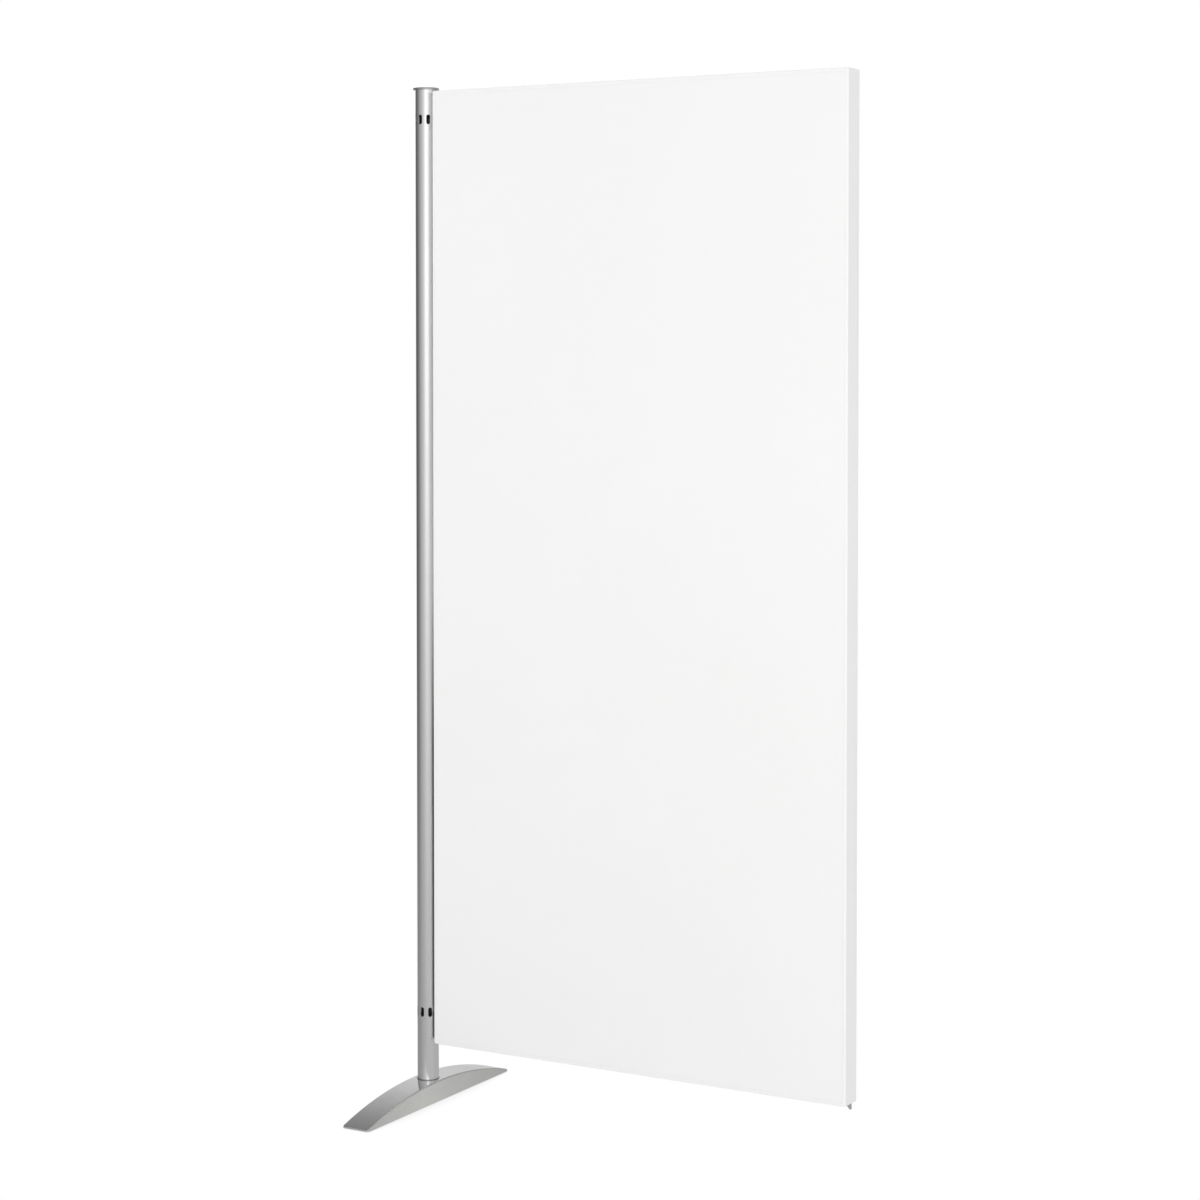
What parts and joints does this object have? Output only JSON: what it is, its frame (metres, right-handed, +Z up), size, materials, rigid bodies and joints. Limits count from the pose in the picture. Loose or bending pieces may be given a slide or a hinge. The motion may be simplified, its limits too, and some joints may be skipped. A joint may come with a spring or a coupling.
{
  "type": "partition wall extension module",
  "caption": "White panel hung on one slotted round metal post with a flat cap, standing on an arched metal foot set across the panel.",
  "frame": {"origin": "post axis at floor level", "axes": "+X from the post along the panel to its free end, +Y along the foot towards the panel's rear face, +Z up"},
  "size_m": [0.8545, 0.452, 1.798],
  "materials": {
    "satin_aluminium": "satin anodised",
    "cast_aluminium": "polished casting",
    "turned_metal": "turned satin",
    "pad_rubber": "matte",
    "steel": "zinc plated",
    "white_laminate": "smooth satin white",
    "white_lipping": "smooth satin white",
    "frame_timber": "sawn softwood",
    "core_paper": "kraft paper"
  },
  "bodies": {
    "foot": {"foot_casting": "cast_aluminium", "foot_pads": "pad_rubber"},
    "post": {"post_tube": "satin_aluminium", "post_cap": "turned_metal", "base_ring": "turned_metal", "tube_plug": "steel", "foot_bolt": "steel", "foot_washer": "steel"},
    "panel": {"front_sheet": "white_laminate", "rear_sheet": "white_laminate", "left_edge": "white_lipping", "right_edge": "white_lipping", "top_edge": "white_lipping", "bottom_edge": "white_lipping", "left_stile": "frame_timber", "right_stile": "frame_timber", "top_rail": "frame_timber", "bottom_rail": "frame_timber", "honeycomb_core": "core_paper", "upper_hook": "steel", "lower_hook": "steel", "end_tab": "steel", "plate_pins": "steel"}
  },
  "joints": [
    {"name": "foot_swivel", "type": "hinge", "parent": "foot", "child": "post", "pos_m": [0, 0, 0.0375], "axis": [0, 0, 1], "continuous": true},
    {"name": "panel_lift", "type": "slide", "parent": "post", "child": "panel", "axis": [0, 0, 1], "range_m": [0, 0.006]}
  ]
}
